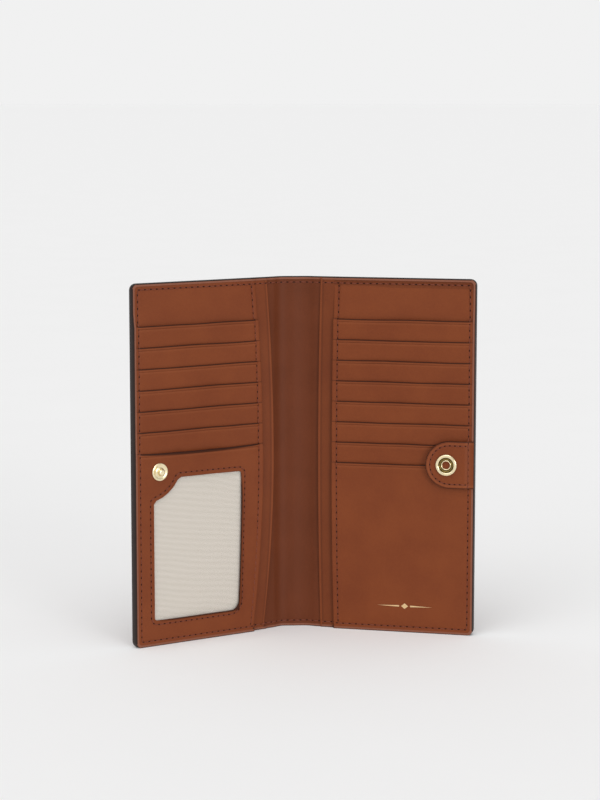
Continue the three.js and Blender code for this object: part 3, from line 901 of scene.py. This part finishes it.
# ---- stitching -----------------------------------------------------------------------
# Saddle stitch in waxed thread, three and a half millimetres long and shorter on the tab.
# Each stitch rises from one needle hole and goes down the next, fullest in its middle.


def waxed_thread():
    """Waxed polyester thread: two plies twisted together, with a dull shine."""
    return mottled("waxed_thread", 0.0004, 2.0, "#541c08", "#823818",
                   {"Roughness": 0.5, "Specular IOR Level": 0.4, "Sheen Weight": 0.1},
                   0.00006, 0.7)


thread = waxed_thread()
THREAD = {"half_width": 0.27, "half_height": 0.2, "share": 0.36}
NEEDLE_HOLE_SHADE = {"long": 0.62, "wide": 0.36}


def sew(bm, path, pitch, level, facing=1):
    """Stitches along a path of places, with a needle hole between each two."""
    lengths = [0.0]
    for (u0, z0), (u1, z1) in zip(path, path[1:]):
        lengths.append(lengths[-1] + math.hypot(u1 - u0, z1 - z0))
    count = max(1, round(lengths[-1] / pitch))
    stitch = lengths[-1] / count

    def at(length):
        length = min(max(length, 0.0), lengths[-1])
        i = next(i for i in range(1, len(lengths)) if length <= lengths[i] + 1e-9)
        share = (length - lengths[i - 1]) / max(1e-9, lengths[i] - lengths[i - 1])
        (u0, z0), (u1, z1) = path[i - 1], path[i]
        return Vector((u0 + (u1 - u0) * share, 0, z0 + (z1 - z0) * share))

    for i in range(count + 1):
        hole = at(i * stitch)
        hole.y = level(hole.x, hole.z) + 0.02 * facing
        ahead, behind = at((i + 0.1) * stitch), at((i - 0.1) * stitch)
        heading = math.atan2(ahead.z - behind.z, ahead.x - behind.x)
        flat = (Matrix.Translation(hole) @ Matrix.Rotation(-heading, 4, "Y")
                @ Matrix.Rotation(math.radians(-90 * facing), 4, "X")
                @ Matrix.Diagonal((NEEDLE_HOLE_SHADE["long"], NEEDLE_HOLE_SHADE["wide"], 1, 1)))
        # Each needle hole is a flat dark disc in edge paint on the face: painted shade for the hole.
        disc = bmesh.ops.create_circle(bm, cap_ends=True, segments=8, radius=1, matrix=flat)
        for face in {face for corner in disc["verts"] for face in corner.link_faces}:
            face.material_index = 1
        if i == count:
            break
        start, end = at((i + 0.5 - THREAD["share"]) * stitch), at((i + 0.5 + THREAD["share"]) * stitch)
        for point in (start, end):
            point.y = level(point.x, point.z)
        along = (end - start).normalized()
        out = Vector((0, facing, 0))
        aside = along.cross(out).normalized()
        out = aside.cross(along).normalized()
        slant = Matrix.Rotation(math.radians(5 * facing), 3, out)
        turn = Matrix((slant @ along, aside, out)).transposed().to_4x4()
        size = Matrix.Diagonal(((end - start).length / 2, THREAD["half_width"],
                                THREAD["half_height"], 1))
        middle = (start + end) / 2 + out * THREAD["half_height"] * 0.35
        bmesh.ops.create_uvsphere(bm, u_segments=8, v_segments=6, radius=1,
                                  matrix=Matrix.Translation(middle) @ turn @ size)


def seam(name, bm, side, nodes, follow):
    """Puts the stitches in place as one piece and hands it to follow, which fixes or bakes it."""
    set_in_place(bm, side)
    bmesh.ops.recalc_face_normals(bm, faces=bm.faces)
    made = finished(bm, name, [thread, painted_edge], 80)
    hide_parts(*nodes)
    follow(made)


SNAP = {"across": 77.6, "up": 92.0}
TAB = {"radius": 12.6, "reach": 25.5, "root_low": 3.423, "root_thick": 0.75, "low": 4.203,
       "thick": 1.5, "curl": 1.3}


def tab_rise(u):
    """How much of its step up the tab has made: none at its sewn root, all at the snap."""
    return smooth((90.6 - u) / 3.6)


def tab_low(u):
    """The back of the tab, which lifts away from the panel towards its free end."""
    lift = TAB["curl"] * max(0.0, (74.5 - u) / 8) ** 1.6
    return TAB["root_low"] + (TAB["low"] - TAB["root_low"]) * tab_rise(u) + lift


def tab_thick(u):
    """Thickness of the tab, which is pared down at its root."""
    return TAB["root_thick"] + (TAB["thick"] - TAB["root_thick"]) * tab_rise(u)


def seam_level(side, u, z):
    """The edge seam lies on the half's face, and on the tab's root where it crosses it."""
    if side == "right" and u > 85 and abs(z - SNAP["up"]) < TAB["radius"]:
        return tab_low(u) + tab_thick(u)
    return front(side, u, z) - 0.08


ends = (SEAM_INSET + 1.5, HEIGHT - SEAM_INSET - 1.5)  # of the seams along the card panels
for side in SIDES:
    path = [place for place, _ in along_edge(SEAM_INSET, 1.2)]
    bm = bmesh.new()
    sew(bm, path, 3.5, lambda u, z: seam_level(side, u, z))
    sew(bm, path, 3.5, lambda u, z: -COVER + 0.1, -1)
    spine_threads = ["spine_thread_top", "spine_thread_bottom"] if side == "left" else []
    seam(side + "_edge_stitching", bm, side, [side + "_edge_thread", *spine_threads],
         lambda made: bends_at_fold(made))

    bm = bmesh.new()
    path = [(CARD_SEAM + panel_bow(side, CARD_SEAM, z)[0], z)
            for z in (ends[0], *steps(*ends, 1.5), ends[1])]
    sew(bm, path, 3.5, lambda u, z: front(side, u, z) - 0.06)
    seam(side + "_card_stitching", bm, side, [side + "_card_thread"],
         lambda made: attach(made, side + "_half"))

bm = bmesh.new()
window_seam = [(u + panel_bow("left", u, z)[0], z) for u, z in window_outline(2.2)]


def window_seam_level(u, z):
    """The face of the window leather, with the bow of its panel and the curl of its mouth."""
    lift = panel_bow("left", u, z)[1]
    curl = CURL["left"] * mouth_ease(u) * math.exp(-(BIG_MOUTH["left"] - z) / 2.5)
    return frame_level(u, z) + FRAME + lift + curl + 0.04


sew(bm, window_seam + window_seam[:1], 3.3, window_seam_level)
seam("window_stitching", bm, "left", ["window_thread"], lambda made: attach(made, "left_half"))

# ---- snap tab ------------------------------------------------------------------------
# Two tan leathers with a thin core between them, cut round at the free end, painted at
# the edge and sewn round. Its root is pared thin and sewn to the right half's edge.
TAB_SEAM = TAB["radius"] - 2.3  # radius of the seam round the free end
edge_at = HALF_WIDTH - 0.05
round_at = HALF_WIDTH - TAB["reach"] + TAB["radius"]
tab_outline = [(edge_at, SNAP["up"] - TAB["radius"]), (edge_at, SNAP["up"] + TAB["radius"]),
               *arc((round_at, SNAP["up"]), TAB["radius"], 90, 270, 28)]
bm = leather_sheet(tab_outline, 1.0, steps(66.6, 85, 0.7) + steps(84.5, edge_at, 0.35),
                   steps(SNAP["up"] - TAB["radius"], SNAP["up"] + TAB["radius"], 0.7), 0.2)
edges_painted(bm)
tone = bm.verts.layers.float.new("tone")
for corner in bm.verts:
    u, n, z = corner.co
    reach = math.hypot(min(0.0, u - round_at), z - SNAP["up"])
    seam_dip = 0.12 * math.exp(-(((TAB_SEAM - reach) / 0.6) ** 2))
    corner.co.y = tab_low(u) + tab_thick(u) * n
    if n > 0.5:
        corner.co.y -= seam_dip + 0.12 * smooth((reach - 11.4) / 1.2)
        # Tone: a painted highlight along the rounded rim, and a dark outline that is partly edge paint
        # lapping onto the face and partly painted shade for the shadow of the lifted free end.
        painted_highlight = 0.3 * math.exp(-(((reach - 11.3) / 0.5) ** 2))
        corner[tone] = painted_highlight - 0.9 * smooth((reach - 11.9) / 0.5)
set_in_place(bm, "right")
tab = finished(bm, "snap_tab_leather", [inner_leather, painted_edge])
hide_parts("tab_root", "tab_back", "tab_core", "tab_front")


def bends_at_tab(piece):
    """Bakes the piece's place into its mesh, where it stands."""
    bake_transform(piece)


bends_at_tab(tab)

path = [(87.6, SNAP["up"] + TAB_SEAM), *arc((round_at, SNAP["up"]), TAB_SEAM, 90, 270, 24),
        (87.6, SNAP["up"] - TAB_SEAM)]
bm = bmesh.new()
sew(bm, path, 2.8, lambda u, z: tab_low(u) + tab_thick(u) - 0.06)
sew(bm, path, 2.8, lambda u, z: tab_low(u) + 0.02, -1)
seam("tab_stitching", bm, "right", ["tab_thread"], bends_at_tab)

# ---- snap fastener -------------------------------------------------------------------
# Pressed brass, gold plated: a stud on the left half, and on the tab a socket whose dish
# round its mouth takes a darker gold, painted shade and a painted dark reflection. A post
# and a cap rivet them on from behind.


def gold_plate(name, deep, light):
    """Polished plate with a fine polishing haze."""
    made, tree, out = new_material(name)
    place = add(tree, "TexCoord").outputs["Object"]
    haze = add(tree, "TexNoise", {"Vector": place}, {"Scale": 1 / 0.0012, "Detail": 3.0})
    tone = add(tree, "ValToRGB", {"Fac": haze.outputs["Fac"]})
    tone.color_ramp.elements[0].color = paint(deep)
    tone.color_ramp.elements[1].color = paint(light)
    gloss = add(tree, "MapRange", {"Value": haze.outputs["Fac"]}, {"To Min": 0.16, "To Max": 0.3})
    relief = add(tree, "Bump", {"Height": haze.outputs["Fac"]},
                 {"Strength": 0.3, "Distance": 0.00003})
    skin = add(tree, "BsdfPrincipled",
               {"Base Color": tone.outputs["Color"], "Roughness": gloss.outputs["Result"],
                "Normal": relief.outputs["Normal"]}, {"Metallic": 1.0})
    tree.links.new(skin.outputs["BSDF"], out.inputs["Surface"])
    return made


gold = gold_plate("polished_gold_plate", "#ecd8a4", "#fbf0d2")
# A darker copy of the gold, for painted shade and a painted dark reflection in the socket's dish.
gold_in_shade = gold_plate("gold_in_painted_shade", "#6b5a30", "#8a7543")
dress("stud_post", gold)


def turned(name, side, profile, node, body, closed=False, shaded_dish=(0, 0)):
    """A round metal part, turned about the snap's axis from its profile of radius and level.
    Faces between the two given radii, high on its face, take a darker gold: painted
    shade and a painted dark reflection in the dish."""
    bm = bmesh.new()
    points = [bm.verts.new((r, n, 0)) for r, n in profile]
    pairs = list(zip(points, points[1:])) + ([(points[-1], points[0])] if closed else [])
    edges = [bm.edges.new(pair) for pair in pairs]
    bmesh.ops.spin(bm, geom=points + edges, axis=(0, 1, 0), cent=(0, 0, 0), steps=72,
                   angle=math.tau, use_merge=True)
    bmesh.ops.remove_doubles(bm, verts=bm.verts, dist=0.0005)
    bmesh.ops.recalc_face_normals(bm, faces=bm.faces)
    for face in bm.faces:
        middle = face.calc_center_median()
        if shaded_dish[0] < math.hypot(middle.x, middle.z) < shaded_dish[1] and middle.y > 5.9:
            face.material_index = 1
    bmesh.ops.translate(bm, verts=bm.verts, vec=(SNAP["across"], 0, SNAP["up"]))
    set_in_place(bm, side)
    bmesh.ops.recalc_face_normals(bm, faces=bm.faces)
    made = finished(bm, name, [gold, gold_in_shade] if shaded_dish[1] else [gold], 50)
    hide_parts(node)
    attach(made, body)


turned("snap_stud_gold", "left",
       [(0, 3.53), (4.35, 3.53), (4.62, 3.62), (4.7, 3.85), (4.66, 4.1), (4.5, 4.28), (4.2, 4.35),
        (3.7, 4.32), (3.35, 4.18), (2.7, 4.12), (2.25, 4.2), (1.95, 4.45), (1.78, 4.8), (1.7, 5.3),
        (1.75, 5.8), (1.75, 6.15), (1.6, 6.42), (1.3, 6.58), (0.9, 6.62), (0, 6.62)],
       "snap_stud", "left_half")
turned("snap_socket_gold", "right",
       [(2.05, 5.76), (5.4, 5.76), (5.64, 5.86), (5.7, 6.1), (5.7, 6.55), (5.62, 6.85), (5.4, 7.03),
        (5.05, 7.1), (4.55, 7.08), (4.15, 6.98), (3.95, 6.75), (3.8, 6.3), (3.5, 6.08), (3.1, 6.04),
        (2.8, 6.15), (2.68, 6.45), (2.6, 6.72), (2.42, 6.82), (2.2, 6.78), (2.08, 6.6), (2.05, 6.2)],
       "snap_socket", "snap_tab", closed=True, shaded_dish=(2.66, 4.1))
turned("snap_cap_gold", "right",
       [(0, 3.51), (5.2, 3.51), (5.75, 3.62), (6.0, 3.85), (5.9, 4.15), (2.5, 4.15), (2.5, 5.6),
        (2.3, 5.7), (1.35, 5.7), (1.15, 5.6), (1.1, 4.6), (0, 4.45)],
       "snap_cap", "snap_tab")

# ---- foil ornament -------------------------------------------------------------------
# A small lozenge between two tapering lines is stamped on the large pocket in gold foil.


def gold_foil():
    """Hot-stamped foil: thin, bright, broken up a little by the leather's grain."""
    return mottled("stamped_gold_foil", 0.0005, 3.0, "#d9b27c", "#f5dcae",
                   {"Metallic": 0.85, "Roughness": 0.4})


ORNAMENT = {"across": 55.2, "up": 14.2, "lozenge": 1.9, "gap": 3.0, "line": 12.0, "wide": 0.42}
middle, height, wide = ORNAMENT["across"], ORNAMENT["up"], ORNAMENT["wide"]
long, tall = ORNAMENT["lozenge"], 0.8 * ORNAMENT["lozenge"]
shapes = [[(middle + long, height), (middle, height + tall), (middle - long, height),
           (middle, height - tall)]]
for way in (-1, 1):
    near = middle + way * ORNAMENT["gap"]
    shapes.append([(near, height - wide), (near + way * ORNAMENT["line"], height),
                   (near, height + wide)])
bm = bmesh.new()
for shape in shapes:
    bmesh.ops.contextual_create(bm, geom=[bm.verts.new(point) for point in flat(shape)])
cut_along(bm, steps(middle - 15, middle + 15, 1.5))
bmesh.ops.solidify(bm, geom=bm.faces[:], thickness=0.05)
for corner in bm.verts:
    u, n, z = corner.co
    corner.co.y = FRONT + STRIP + drape(u, z, 0.07, FOIL_SIDE_SEED) * mouth_ease(u) + 0.03 + abs(n)
set_in_place(bm, "right")
bmesh.ops.recalc_face_normals(bm, faces=bm.faces)
ornament = finished(bm, "foil_ornament", [gold_foil()])
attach(ornament, "right_half")
